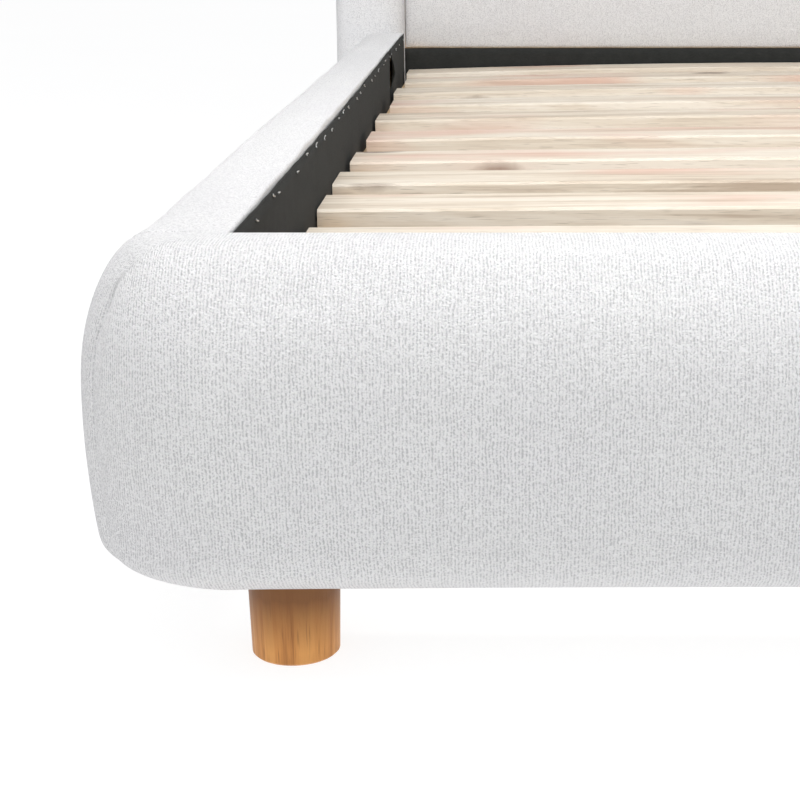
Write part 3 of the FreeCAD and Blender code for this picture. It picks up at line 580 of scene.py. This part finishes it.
def foot_cover():
    """The foot rail's padded cover: the straight front and both turned corners, in one piece."""
    degrees = [0, 0.4, 4, 9, 14, 19, 24, 29, 33, 36.5, 39.5, 41.7, 43.2, 44.3, 45]
    half = [math.radians(d) for d in degrees]
    turn = half + [math.pi / 2 - a for a in reversed(half[:-1])]
    rings, panels, keys = [], [], []
    for k, nominal in enumerate(turn):
        rings.append(corner_ring(nominal, -1))
        panels.append("left_side" if nominal < math.pi / 4 - 0.0001 else "front")
        keys.append(("left", nominal))
    straight = 110
    for k in range(1, straight):
        x = -INNER_X + 2 * INNER_X * k / straight
        ring = [(x, PIVOT_Y - outward, up) for outward, up in OUTER + INNER]
        rings.append(ring)
        panels.append("front")
        keys.append(("straight", x))
    for nominal in reversed(turn):
        rings.append(corner_ring(nominal, 1))
        panels.append("front" if nominal > math.pi / 4 + 0.0001 else "right_side")
        keys.append(("right", nominal))

    section = OUTER + INNER

    def across(strip, ring, point):
        where, amount = keys[ring]
        outward = section[point][0]
        if where == "straight":
            return amount
        side = -1 if where == "left" else 1
        angle = warped(amount, outward)
        if panels[strip] == "front":
            return side * (INNER_X + outward * (math.pi / 2 - angle))
        return 5.0 * side + side * outward * angle

    piece = skin("foot_rail_padding", rings, across)

    def free(point):
        outward = PIVOT_Y - point.y
        if abs(point.x) > INNER_X:
            outward = math.hypot(outward, abs(point.x) - INNER_X)
            seam_gap = abs(PIVOT_Y - SEAM_INSET - point.y)
            if seam_gap < 0.003:
                return 0.0
        near_end = clamped((PIVOT_Y - point.y - 0.001) / 0.03) if abs(point.x) > INNER_X else 1.0
        shell = clamped((outward - 0.010) / 0.02)
        floor = clamped((point.z - RAIL_LOW - 0.002) / 0.02) if outward < 0.05 else 1.0
        inside = CAVITY_LOW - 0.002 < point.z < CAVITY_TOP + 0.002 and outward < FRAME_REACH * 1.5
        return 0.0 if inside else near_end * shell * floor

    settle(piece, free, RAIL_SWELL)
    for vertex in piece.data.vertices:
        p = vertex.co
        share = free(p)
        if share > 0.0:
            swell = 0.0009 * ripple(p, 0.21, 1) + 0.0004 * ripple(p, 0.05, 2)
            vertex.co = p + Vector((0, -swell, 0)) * share + Vector((0, 0, swell * 0.5 * share))
    refine(piece)
    mark_seam(piece)
    return piece


def mark_seam(piece):
    """Stores how near each point is to the corner seams' stitching, for the painted shade line that the
    cloth's colour draws along them.
    """
    seam = piece.data.attributes.new("seam", "FLOAT", "POINT")
    for k, vertex in enumerate(piece.data.vertices):
        p = vertex.co
        out_x = abs(p.x) - INNER_X
        if out_x < 0.02 or math.hypot(out_x, PIVOT_Y - p.y) < SEAM_START:
            continue
        gap = abs(PIVOT_Y - SEAM_INSET - p.y)
        fade = clamped((RAIL_TOP - 0.004 - p.z) / 0.02)
        seam.data[k].value = fade * math.exp(-((gap / 0.0016) ** 2))


# ---------------------------------------------------------------- side rail covers

def side_cover(hand, part):
    """One section of a side rail's padded cover, rounded at the end that meets the other section."""
    side = -1 if hand == "left" else 1
    low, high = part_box(f"{hand}_rail_{part}_cover")
    start, end = low.y, high.y
    round_start = SPLIT_ROUND if part == "rear" else 0.0
    round_end = SPLIT_ROUND if part == "front" else 0.003
    if part == "front":
        start = PIVOT_Y
    quarters = (math.pi / 8, math.pi / 4, 3 * math.pi / 8, math.pi / 2)
    marks = [start]
    if round_start:
        marks += [start + round_start * (1 - math.cos(a)) for a in quarters]
    else:
        marks.append(start + 0.0005)
    steps = max(6, int((end - start - 0.03) / 0.014))
    first, last = marks[-1], end - (round_end or 0.0005)
    marks += [first + (last - first) * k / steps for k in range(1, steps + 1)]
    if round_end:
        marks += [end - round_end * (1 - math.sin(a)) for a in quarters]
    else:
        marks.append(end)

    centre = (RAIL_THICK * 0.5, (RAIL_LOW + RAIL_TOP) / 2)
    rings = []
    for y in marks:
        tuck = 0.0
        for edge, size in ((start, round_start), (end, round_end)):
            gap = abs(y - edge)
            if size and gap < size:
                tuck = max(tuck, size - math.sqrt(max(0.0, size * size - (size - gap) ** 2)))
        ring = []
        for outward, up in OUTER:
            move_out = math.copysign(min(1.0, abs(outward - centre[0]) / 0.045), centre[0] - outward)
            move_up = math.copysign(min(1.0, abs(up - centre[1]) / 0.10), centre[1] - up)
            if outward < 0.002:
                move_out = 0.0
            ring.append((side * (INNER_X + outward + tuck * move_out), y, up + tuck * move_up))
        for outward, up in INNER:
            ring.append((side * (INNER_X + outward), y, up))
        rings.append(ring)

    piece = skin(f"{hand}_rail_{part}_padding", rings, lambda strip, ring, point: marks[ring])

    def free(point):
        outward = abs(point.x) - INNER_X
        if CAVITY_LOW - 0.002 < point.z < CAVITY_TOP + 0.002 and outward < FRAME_DEEP + 0.002:
            return 0.0
        end_gap = min(point.y - start, end - point.y)
        near_end = clamped((end_gap - 0.001) / 0.03)
        shell = clamped((outward - 0.010) / 0.02)
        floor = clamped((point.z - RAIL_LOW - 0.002) / 0.02) if outward < 0.05 else 1.0
        return near_end * shell * floor

    settle(piece, free, RAIL_SWELL)
    for vertex in piece.data.vertices:
        p = vertex.co
        share = free(p)
        if share > 0.0:
            swell = 0.0009 * ripple(p, 0.21, 3) + 0.0004 * ripple(p, 0.05, 4)
            vertex.co = p + Vector((side * swell, 0, swell * 0.5)) * share
        lip_share = max(0.0, 1.0 - (abs(p.x) - INNER_X) / 0.02) if p.z > CAVITY_TOP + 0.003 else 0.0
        end_gap = min(p.y - start, end - p.y)
        if lip_share > 0.0 and end_gap > 0.012:
            wave = 0.0022 * ripple((0, p.y, 0), 0.055, 5) + 0.0011 * ripple((0, p.y, 0), 0.021, 6)
            vertex.co.z += wave * lip_share
    refine(piece)
    return piece


# ---------------------------------------------------------------- headboard

def border_section():
    """The border's section as (outward, back) points: a rolled, padded front, and open at the back."""
    depth = BOARD_BACK - BORDER_FRONT
    roll = BORDER_ROLL
    points = [(0.0, 0.058), (0.0, 0.040), (0.0, roll)]
    for k in range(1, 7):
        a = math.pi / 2 * k / 7
        points.append((roll - roll * math.cos(a), roll - roll * math.sin(a)))
    points += line((roll, 0.0), (BORDER_WIDE - roll, 0.0), 7)
    for k in range(0, 8):
        a = math.pi / 2 * k / 7
        points.append((BORDER_WIDE - roll + roll * math.sin(a), roll - roll * math.cos(a)))
    points += line((BORDER_WIDE, roll), (BORDER_WIDE, depth - 0.004), 9)[1:]
    rim = ((0.0, 0.004), (0.001, 0.001), (0.004, 0.0))
    points += [(BORDER_WIDE - across, depth - back) for across, back in rim]
    back = [
        (BORDER_WIDE - 0.012, depth),
        (BORDER_WIDE - 0.0155, depth - 0.0005),
        (BORDER_WIDE - BORDER_WALL, depth - 0.008),
        (BORDER_WIDE - BORDER_WALL, 0.090),
        (BORDER_WIDE - BORDER_WALL, BORDER_HOLLOW),
        (BORDER_WIDE * 0.6, BORDER_HOLLOW),
        (BORDER_WIDE * 0.3, BORDER_HOLLOW),
        (0.0, BORDER_HOLLOW),
    ]
    return points, back


def border_ring(section, side, angle):
    """One ring of the border's outer corner, turned angle from the side."""
    ring = []
    for outward, deep in section:
        x = side * (BORDER_IN + outward * math.cos(angle))
        ring.append((x, BORDER_FRONT + deep, BORDER_UNDER + outward * math.sin(angle)))
    return ring


def border():
    """The headboard's padded border: up one side, over the top and down the other."""
    front, back = border_section()
    section = front + back
    rings = []
    rise = BORDER_UNDER - BORDER_LOW
    side_steps, top_steps, corner_steps = 62, 105, 12
    levels = [BORDER_LOW, BORDER_LOW + 0.0006]
    levels += [BORDER_LOW + 0.006 + (rise - 0.006) * k / side_steps for k in range(side_steps + 1)]
    for z in levels:
        rings.append([(-(BORDER_IN + outward), BORDER_FRONT + deep, z) for outward, deep in section])
    for k in range(1, corner_steps + 1):
        rings.append(border_ring(section, -1, math.pi / 2 * k / corner_steps))
    for k in range(1, top_steps):
        x = -BORDER_IN + 2 * BORDER_IN * k / top_steps
        rings.append([(x, BORDER_FRONT + deep, BORDER_UNDER + outward) for outward, deep in section])
    for k in range(corner_steps):
        rings.append(border_ring(section, 1, math.pi / 2 * (1 - k / corner_steps)))
    for z in reversed(levels):
        rings.append([(BORDER_IN + outward, BORDER_FRONT + deep, z) for outward, deep in section])

    piece = skin("headboard_border_padding", rings, lambda strip, ring, point: 0.0)
    for loop, data in zip(piece.data.loops, piece.data.uv_layers["cloth"].data):
        p = piece.data.vertices[loop.vertex_index].co
        back = p.y - BORDER_FRONT
        sideways = clamped((abs(p.x) - BORDER_IN) / 0.05) * (p.z < BORDER_UNDER + 0.06)
        data.uv = (p.x + math.copysign(back, p.x) * sideways, p.z + back * (1.0 - sideways))

    def free(point):
        outward = max(abs(point.x) - BORDER_IN, point.z - BORDER_UNDER)
        if abs(point.x) > BORDER_IN and point.z > BORDER_UNDER:
            outward = math.hypot(abs(point.x) - BORDER_IN, point.z - BORDER_UNDER)
        deep = point.y - BORDER_FRONT
        if deep > 0.06 and outward < BORDER_WIDE - 0.002:
            return 0.0
        ends = clamped((point.z - BORDER_LOW - 0.001) / 0.03)
        rim = clamped((0.105 - deep) / 0.02)
        lip = clamped((0.055 - deep) / 0.02) if outward < 0.003 else 1.0
        return ends * rim * lip

    settle(piece, free, BORDER_SWELL)
    for vertex in piece.data.vertices:
        p = vertex.co
        share = free(p)
        if share > 0.0:
            swell = 0.0012 * ripple(p, 0.25, 8) + 0.0005 * ripple(p, 0.06, 9)
            vertex.co = p + Vector((0, -swell, 0)) * share
    refine(piece)
    return piece


def centre_pad():
    """The recessed panel: foam that is full in its middle and drawn down along its edges."""
    low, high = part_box("headboard_centre_pad")
    wide, tall = high.x - low.x, high.z - low.z
    columns, rows = 110, 54
    mesh = bpy.data.meshes.new("headboard_centre_padding")
    shell = bmesh.new()

    def eased(share):
        """Steps that crowd towards both ends."""
        return share - 0.11 * math.sin(2 * math.pi * share)

    def crown(x, z):
        side_gap = min(x - low.x, high.x - x)
        up_gap = min(z - low.z, high.z - z)
        bottom = z - low.z < high.z - z
        drop = SIDE_DROP * math.exp(-side_gap / 0.028)
        drop += BOTTOM_DROP * math.exp(-up_gap / 0.008) if bottom else TOP_DROP * math.exp(-up_gap / 0.026)
        return min(DROP_LIMIT, drop)

    places = [low.x + wide * eased(c / columns) for c in range(columns + 1)]
    front, back = [], []
    for r in range(rows + 1):
        z = low.z + tall * eased(r / rows)
        front.append([shell.verts.new((x, low.y, z)) for x in places])
        back.append([shell.verts.new((x, high.y, z)) for x in places])
    for grid in (front, back):
        for r in range(rows):
            for c in range(columns):
                shell.faces.new((grid[r][c], grid[r][c + 1], grid[r + 1][c + 1], grid[r + 1][c]))
    for r in range(rows):
        shell.faces.new((front[r][0], front[r + 1][0], back[r + 1][0], back[r][0]))
        shell.faces.new((front[r][-1], front[r + 1][-1], back[r + 1][-1], back[r][-1]))
    for c in range(columns):
        shell.faces.new((front[0][c], front[0][c + 1], back[0][c + 1], back[0][c]))
        shell.faces.new((front[-1][c], front[-1][c + 1], back[-1][c + 1], back[-1][c]))
    for line_of in front:
        for vertex in line_of:
            x, z = vertex.co.x, vertex.co.z
            swell = 0.0011 * ripple((x, 0, z), 0.22, 10) + 0.0004 * ripple((x, 0, z), 0.06, 11)
            vertex.co.y = low.y + 0.0014 + crown(x, z) + swell
    bmesh.ops.recalc_face_normals(shell, faces=shell.faces)
    layer = shell.loops.layers.uv.new("cloth")
    for face in shell.faces:
        face.smooth = True
        for loop in face.loops:
            loop[layer].uv = (loop.vert.co.x, loop.vert.co.z)
    shell.to_mesh(mesh)
    shell.free()
    piece = bpy.data.objects.new("headboard_centre_padding", mesh)
    scene.collection.objects.link(piece)

    def free(point):
        gap = min(point.x - low.x, high.x - point.x, point.z - low.z, high.z - point.z)
        return clamped((gap - 0.004) / 0.03) if point.y < high.y - 0.001 else 0.0

    settle(piece, free, PAD_SWELL)
    refine(piece)
    return piece


# ---------------------------------------------------------------- linings

def lining(name, node, axis, inward, top_wave=0.0016, rise=0.0, flare_at=None, rounded=0.0):
    """A sheet of felt or cambric. axis is the one it runs along, and inward the side that shows."""
    low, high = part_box(node)
    thick_axis = 1 - axis
    wide, tall = high[axis] - low[axis], high.z - low.z + rise
    columns, rows = max(6, int(wide / 0.009)), max(6, int(tall / 0.012))
    levels = [low.z + tall * r / rows for r in range(rows + 1)]
    if rounded:
        levels = [z for z in levels if z < high.z - rounded - 0.004]
        levels += [high.z - rounded + rounded * math.sin(math.pi / 2 * k / 16) for k in range(17)]
        rows = len(levels) - 1
    centre = (low[axis] + high[axis]) / 2
    middle = (low[thick_axis] + high[thick_axis]) / 2
    mesh = bpy.data.meshes.new(name)
    shell = bmesh.new()
    layer = shell.loops.layers.uv.new("cloth")
    grid = []
    for r in range(rows + 1):
        line_of = []
        for c in range(columns + 1):
            along = low[axis] + wide * c / columns
            z = levels[r]
            if z > high.z - rounded:
                reach = math.sqrt(max(0.0, rounded ** 2 - (z - high.z + rounded) ** 2))
                along = centre + (along - centre) * (1 - (rounded - reach) / (wide / 2))
            upper = ((z - low.z) / tall) ** 6
            wave = 0.7 * ripple((along, 0, 0), 0.07, 12) + 0.3 * ripple((along, 0, 0), 0.028, 15) - 0.7
            z += upper * top_wave * wave
            if axis == 1:
                z -= upper * SAG * math.sin(math.pi * clamped((along - PIVOT_Y) / SAG_LONG))
            out = 0.0005 * ripple((along, 0, z), 0.09, 13) + 0.0009 * upper * ripple((along, 1, z), 0.045, 14)
            if flare_at is not None:
                loose = clamped((z - FLARE_FROM) / 0.012) * clamped((high.z - 0.004 - z) / 0.010)
                curl = FLARE * loose * math.exp(-abs(along - flare_at) / 0.022)
                out += curl * (1 + 0.6 * ripple((0, 0, z), 0.02, 16))
            point = [0.0, 0.0, z]
            point[axis] = along
            point[thick_axis] = middle + inward * (out + 0.0002)
            line_of.append(shell.verts.new(point))
        grid.append(line_of)
    for r in range(rows):
        for c in range(columns):
            corners = ((r, c), (r, c + 1), (r + 1, c + 1), (r + 1, c))
            face = shell.faces.new([grid[a][b] for a, b in corners])
            face.smooth = True
            for loop, (a, b) in zip(face.loops, corners):
                loop[layer].uv = (wide * b / columns, levels[a] - low.z)
    bmesh.ops.recalc_face_normals(shell, faces=shell.faces)
    shell.to_mesh(mesh)
    shell.free()
    piece = bpy.data.objects.new(name, mesh)
    scene.collection.objects.link(piece)
    solid = piece.modifiers.new("thickness", "SOLIDIFY")
    solid.thickness = FELT_THICK
    solid.offset = 0.0
    baked(piece, solid)
    piece.data.materials.append(CAMBRIC if "back" in name else FELT)
    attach(piece, "bed")
    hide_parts(node)


# ---------------------------------------------------------------- staples, by Geometry Nodes

def staple_tree():
    """Staples along a line: spacing, wander and tilt are inputs, and each is a bar of bent wire."""
    tree = bpy.data.node_groups.new("staple_row", "GeometryNodeTree")
    face = tree.interface
    inputs = {}
    for name, kind, default in (
        ("Start", "NodeSocketVector", (0, 0, 0)),
        ("End", "NodeSocketVector", (1, 0, 0)),
        ("Spacing", "NodeSocketFloat", 0.05),
        ("Wander along", "NodeSocketFloat", 0.028),
        ("Wander up", "NodeSocketFloat", 0.003),
        ("Tilt", "NodeSocketFloat", 0.5),
        ("Turn", "NodeSocketFloat", 0.0),
        ("Crown", "NodeSocketFloat", 0.0085),
        ("Wire", "NodeSocketFloat", 0.0009),
        ("Seed", "NodeSocketInt", 1),
        ("Wire material", "NodeSocketMaterial", None),
    ):
        socket = face.new_socket(name, in_out="INPUT", socket_type=kind)
        if default is not None:
            socket.default_value = default
        inputs[name] = socket.identifier
    face.new_socket("Geometry", in_out="OUTPUT", socket_type="NodeSocketGeometry")
    add, link = tree.nodes.new, tree.links.new
    given = add("NodeGroupInput").outputs
    away = add("ShaderNodeVectorMath")
    away.operation = "DISTANCE"
    link(given["Start"], away.inputs[0])
    link(given["End"], away.inputs[1])
    many = add("ShaderNodeMath")
    many.operation = "DIVIDE"
    link(away.outputs["Value"], many.inputs[0])
    link(given["Spacing"], many.inputs[1])
    run = add("GeometryNodeMeshLine")
    run.mode = "END_POINTS"
    link(many.outputs[0], run.inputs["Count"])
    link(given["Start"], run.inputs["Start Location"])
    link(given["End"], run.inputs["Offset"])

    def wander(amount, extra):
        node = add("FunctionNodeRandomValue")
        node.data_type = "FLOAT"
        flip = add("ShaderNodeMath")
        flip.operation = "MULTIPLY"
        flip.inputs[1].default_value = -1.0
        link(given[amount], flip.inputs[0])
        link(flip.outputs[0], node.inputs[2])
        link(given[amount], node.inputs[3])
        seed = add("ShaderNodeMath")
        seed.operation = "ADD"
        seed.inputs[1].default_value = extra
        link(given["Seed"], seed.inputs[0])
        link(seed.outputs[0], node.inputs["Seed"])
        return node.outputs[1]

    step = add("ShaderNodeVectorMath")
    step.operation = "SUBTRACT"
    link(given["End"], step.inputs[0])
    link(given["Start"], step.inputs[1])
    unit = add("ShaderNodeVectorMath")
    unit.operation = "NORMALIZE"
    link(step.outputs[0], unit.inputs[0])
    slide = add("ShaderNodeVectorMath")
    slide.operation = "SCALE"
    link(unit.outputs[0], slide.inputs[0])
    link(wander("Wander along", 10), slide.inputs["Scale"])
    lift = add("ShaderNodeCombineXYZ")
    link(wander("Wander up", 20), lift.inputs["Z"])
    both = add("ShaderNodeVectorMath")
    both.operation = "ADD"
    link(slide.outputs[0], both.inputs[0])
    link(lift.outputs[0], both.inputs[1])
    moved = add("GeometryNodeSetPosition")
    link(run.outputs[0], moved.inputs["Geometry"])
    link(both.outputs[0], moved.inputs["Offset"])

    size = add("ShaderNodeCombineXYZ")
    link(given["Crown"], size.inputs["X"])
    link(given["Wire"], size.inputs["Y"])
    link(given["Wire"], size.inputs["Z"])
    bar = add("GeometryNodeMeshCube")
    link(size.outputs[0], bar.inputs["Size"])
    bar.inputs["Vertices X"].default_value = 6
    bar.inputs["Vertices Y"].default_value = 3
    bar.inputs["Vertices Z"].default_value = 3
    at = add("GeometryNodeInputPosition")
    parts = add("ShaderNodeSeparateXYZ")
    link(at.outputs[0], parts.inputs[0])
    share = add("ShaderNodeMath")
    share.operation = "DIVIDE"
    link(parts.outputs["X"], share.inputs[0])
    link(given["Crown"], share.inputs[1])
    bent = add("ShaderNodeMath")
    bent.operation = "POWER"
    bent.inputs[1].default_value = 4.0
    link(share.outputs[0], bent.inputs[0])
    sink = add("ShaderNodeMath")
    sink.operation = "MULTIPLY"
    sink.inputs[1].default_value = 0.013
    link(bent.outputs[0], sink.inputs[0])
    dip = add("ShaderNodeCombineXYZ")
    link(sink.outputs[0], dip.inputs["Y"])
    shaped = add("GeometryNodeSetPosition")
    link(bar.outputs["Mesh"], shaped.inputs["Geometry"])
    link(dip.outputs[0], shaped.inputs["Offset"])
    soft = add("GeometryNodeSetShadeSmooth")
    link(shaped.outputs[0], soft.inputs["Geometry"])

    angles = add("ShaderNodeCombineXYZ")
    link(wander("Tilt", 30), angles.inputs["Y"])
    link(given["Turn"], angles.inputs["Z"])
    copies = add("GeometryNodeInstanceOnPoints")
    link(moved.outputs[0], copies.inputs["Points"])
    link(soft.outputs[0], copies.inputs["Instance"])
    link(angles.outputs[0], copies.inputs["Rotation"])
    real = add("GeometryNodeRealizeInstances")
    link(copies.outputs[0], real.inputs[0])
    painted = add("GeometryNodeSetMaterial")
    link(real.outputs[0], painted.inputs["Geometry"])
    link(given["Wire material"], painted.inputs["Material"])
    link(painted.outputs[0], add("NodeGroupOutput").inputs[0])
    return tree, inputs


def staples():
    """The staples that hold the linings' and the back cloth's edges, as one piece."""
    tree, inputs = staple_tree()
    rows = []
    for hand, side in (("left", -1), ("right", 1)):
        for part in ("front", "rear"):
            low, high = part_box(f"{hand}_rail_{part}_liner")
            x = (low.x if side > 0 else high.x) - side * STAPLE_PROUD
            z = high.z - STAPLE_BELOW
            rows.append(((x, low.y + 0.02, z), (x, high.y - 0.02, z), math.pi / 2 * side, SIDE_STEP))
    low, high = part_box("foot_rail_liner")
    y, z = high.y + STAPLE_PROUD, high.z - STAPLE_BELOW
    rows.append(((low.x + 0.03, y, z), (high.x - 0.03, y, z), math.pi, FOOT_STEP))
    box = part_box("headboard_back_cloth")
    y = box[1].y + 0.0006
    for start, end in (
        ((0.01 - BORDER_IN, y, box[1].z - 0.008), (BORDER_IN - 0.01, y, box[1].z - 0.008)),
        ((box[0].x + 0.03, y, box[0].z + 0.008), (box[1].x - 0.03, y, box[0].z + 0.008)),
    ):
        rows.append((start, end, math.pi, BACK_STEP))

    shell = bmesh.new()
    for k, (start, end, facing, spacing) in enumerate(rows):
        holder = bpy.data.objects.new(f"row_{k}", bpy.data.meshes.new(f"row_{k}"))
        scene.collection.objects.link(holder)
        modifier = holder.modifiers.new("staples", "NODES")
        modifier.node_group = tree
        for name, given in (
            ("Start", start),
            ("End", end),
            ("Spacing", spacing),
            ("Turn", facing),
            ("Seed", 40 + k),
            ("Wire material", STAPLE),
        ):
            modifier[inputs[name]] = given
        made = bpy.data.meshes.new_from_object(holder.evaluated_get(bpy.context.evaluated_depsgraph_get()))
        shell.from_mesh(made)
        bpy.data.objects.remove(holder)
        bpy.data.meshes.remove(made)
    mesh = bpy.data.meshes.new("lining_staples")
    shell.to_mesh(mesh)
    shell.free()
    mesh.materials.append(STAPLE)
    piece = bpy.data.objects.new("lining_staples", mesh)
    scene.collection.objects.link(piece)
    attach(piece, "bed")


# ---------------------------------------------------------------- put the bed together

def dress(piece, nodes):
    """Cover a padded piece in boucle, attach it to the bed and hide the nodes it stands for."""
    piece.data.materials.clear()
    piece.data.materials.append(BOUCLE)
    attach(piece, "bed")
    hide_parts(*nodes)


dress(foot_cover(), ["foot_rail_cover"])
for hand in ("left", "right"):
    for part in ("front", "rear"):
        dress(side_cover(hand, part), [f"{hand}_rail_{part}_cover"])
dress(border(), ["headboard_left_border", "headboard_right_border", "headboard_top_border"])
dress(centre_pad(), ["headboard_centre_pad"])

for hand, side in (("left", -1), ("right", 1)):
    for part in ("front", "rear"):
        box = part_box(f"{hand}_rail_{part}_liner")
        lining(
            f"{hand}_rail_{part}_lining",
            f"{hand}_rail_{part}_liner",
            1,
            -side,
            rise=LINING_RISE,
            flare_at=box[0].y if part == "rear" else None,
        )
lining("foot_rail_lining", "foot_rail_liner", 0, 1, rise=LINING_RISE)
lining("head_rail_lining", "head_rail_liner", 0, -1, 0.0, rise=0.0012)
lining("headboard_back_lining", "headboard_back_cloth", 0, 1, 0.0, rounded=BACK_ROUND)
staples()

FINISHES = (
    ("leg_hanger", ZINC),
    ("leg_", LEG_WOOD),
    ("slat_", SLAT_WOOD),
    ("centre_foot", PLASTIC),
    ("screws", ZINC),
    ("plates", STEEL),
    ("brackets", STEEL),
    ("hangers", STEEL),
    ("headboard_board", PLYWOOD),
)
for name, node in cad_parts.items():
    finish = FRAME_WOOD
    for word, material in FINISHES:
        if word in name:
            finish = material
            break
    for held in node.material_slots:
        held.material = finish

# ---------------------------------------------------------------- floor, light and camera

floor_mesh = bpy.data.meshes.new("floor")
floor_shell = bmesh.new()
bmesh.ops.create_grid(floor_shell, x_segments=8, y_segments=8, size=14.0)
floor_shell.to_mesh(floor_mesh)
floor_shell.free()
floor_mesh.materials.append(pale_floor())
floor = bpy.data.objects.new("floor", floor_mesh)
scene.collection.objects.link(floor)

world = bpy.data.worlds.new("soft_room")
scene.world = world
world.use_nodes = True
world.node_tree.nodes["Background"].inputs["Color"].default_value = (0.97, 0.98, 1.0, 1.0)
world.node_tree.nodes["Background"].inputs["Strength"].default_value = ROOM_GLOW


def lamp(name, where, aim, size, power):
    data = bpy.data.lights.new(name, "AREA")
    data.shape = "SQUARE"
    data.size = size
    data.energy = power
    data.color = LAMP_TINT
    obj = bpy.data.objects.new(name, data)
    obj.location = where
    obj.rotation_euler = (Vector(aim) - Vector(where)).to_track_quat("-Z", "Y").to_euler()
    scene.collection.objects.link(obj)


lamp("key", (-0.9, -1.5, 3.0), (-0.5, -0.8, 0.1), 2.4, 24.5)
lamp("over", (-0.3, -1.0, 1.9), (0.0, 0.9, 0.4), 1.3, 31)
lamp("front", (-1.6, -4.6, 3.6), (0.0, 0.9, 0.4), 3.0, 31)

camera_data = bpy.data.cameras.new("camera")
camera_data.lens = 76.5
camera_data.sensor_width = 36
camera_data.shift_x = -0.1275
camera = bpy.data.objects.new("camera", camera_data)
camera.location = (-0.5955, -2.1085, 0.4747)
camera.rotation_euler = (math.pi / 2 - CAMERA_DOWN, 0, 0)
scene.collection.objects.link(camera)
scene.camera = camera
scene.view_settings.view_transform = "Standard"
